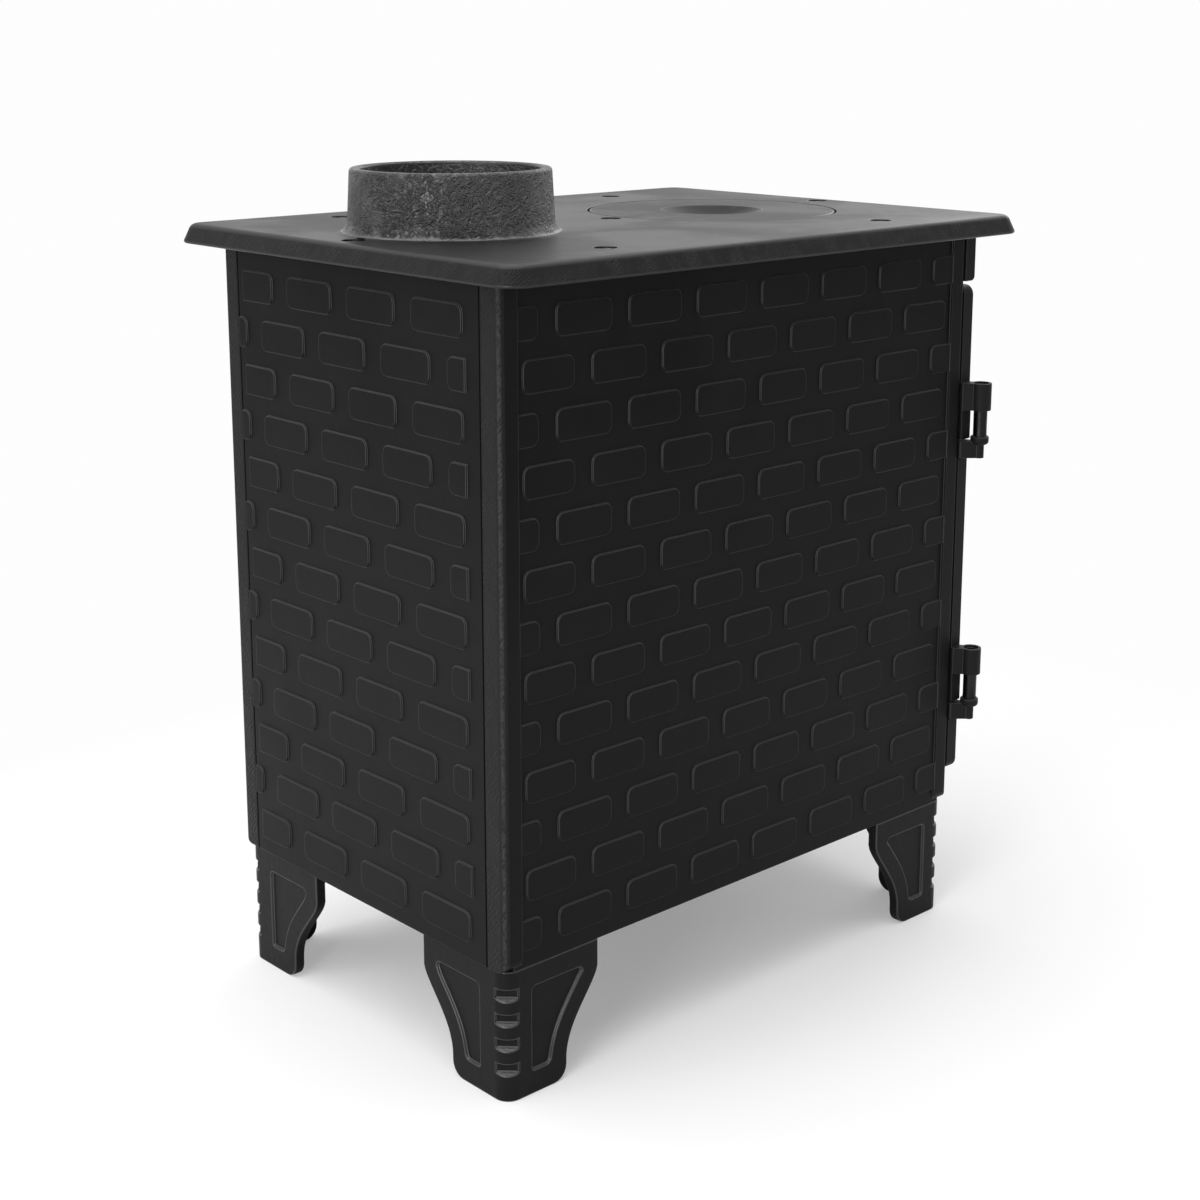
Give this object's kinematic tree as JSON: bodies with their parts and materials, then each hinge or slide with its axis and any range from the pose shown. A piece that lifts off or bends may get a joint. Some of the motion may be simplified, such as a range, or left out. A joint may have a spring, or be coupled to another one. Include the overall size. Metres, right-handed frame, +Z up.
{
  "type": "box wood stove",
  "caption": "Rectangular cast-iron wood stove on four legs, with brick-relief panels, a glazed hinged door, a flue collar and a round hob lid.",
  "frame": {"origin": "at floor level, in the middle of the stove's bounding box, door handle included", "axes": "+Z up, -Y towards the door, +X to the right of a person who faces the door"},
  "size_m": [0.406, 0.577, 0.656],
  "materials": {
    "cast_iron": "satin black heat-resistant paint on sand-cast iron",
    "steel": "dull zinc-plated steel fasteners and pins",
    "pan_steel": "black painted sheet steel",
    "firebrick": "matt fired clay",
    "rope": "knitted glass-fibre rope",
    "stove_glass": "clear ceramic glass, slightly amber",
    "grip_wood": "dark oiled hardwood"
  },
  "bodies": {
    "stove_body": {"base_plate": "cast_iron", "side_panel_left": "cast_iron", "side_panel_right": "cast_iron", "rear_panel": "cast_iron", "front_plate": "cast_iron", "top_plate": "cast_iron", "top_screws": "cast_iron", "leg_front_left": "cast_iron", "leg_front_right": "cast_iron", "leg_rear_left": "cast_iron", "leg_rear_right": "cast_iron", "leg_bolts": "steel", "base_bolts": "steel", "corner_bolts": "steel", "hinge_pin_upper": "steel", "hinge_pin_lower": "steel", "grate_bed": "cast_iron", "fire_grate": "cast_iron", "ash_pan": "pan_steel", "firebricks_left": "firebrick", "firebricks_right": "firebrick", "firebricks_rear": "firebrick", "baffle_plate": "cast_iron", "log_guard": "cast_iron", "latch_catch": "cast_iron", "catch_screws": "steel"},
    "door": {"door": "cast_iron", "door_rope": "rope", "door_glass": "stove_glass", "glass_gasket": "rope", "glass_clips": "steel", "clip_screws": "steel", "air_screw": "steel"},
    "handle": {"handle_lever": "cast_iron", "handle_grip": "grip_wood", "latch_tongue": "cast_iron", "tongue_nut": "steel"},
    "air_disc": {"air_disc": "cast_iron"},
    "hob_lid": {"hob_lid": "cast_iron"}
  },
  "joints": [
    {"name": "door_swing", "type": "hinge", "parent": "stove_body", "child": "door", "pos_m": [-0.175, -0.2475, 0.3], "axis": [0, 0, -1], "range_deg": [0, 115]},
    {"name": "handle_turn", "type": "hinge", "parent": "door", "child": "handle", "pos_m": [0.112, -0.2465, 0.327], "axis": [0, -1, 0], "range_deg": [0, 90]},
    {"name": "air_turn", "type": "hinge", "parent": "door", "child": "air_disc", "pos_m": [0, -0.2458, 0.172], "axis": [0, -1, 0], "range_deg": [0, 45]},
    {"name": "lid_lift", "type": "slide", "parent": "stove_body", "child": "hob_lid", "axis": [0, 0, 1], "range_m": [0, 0.1]}
  ]
}
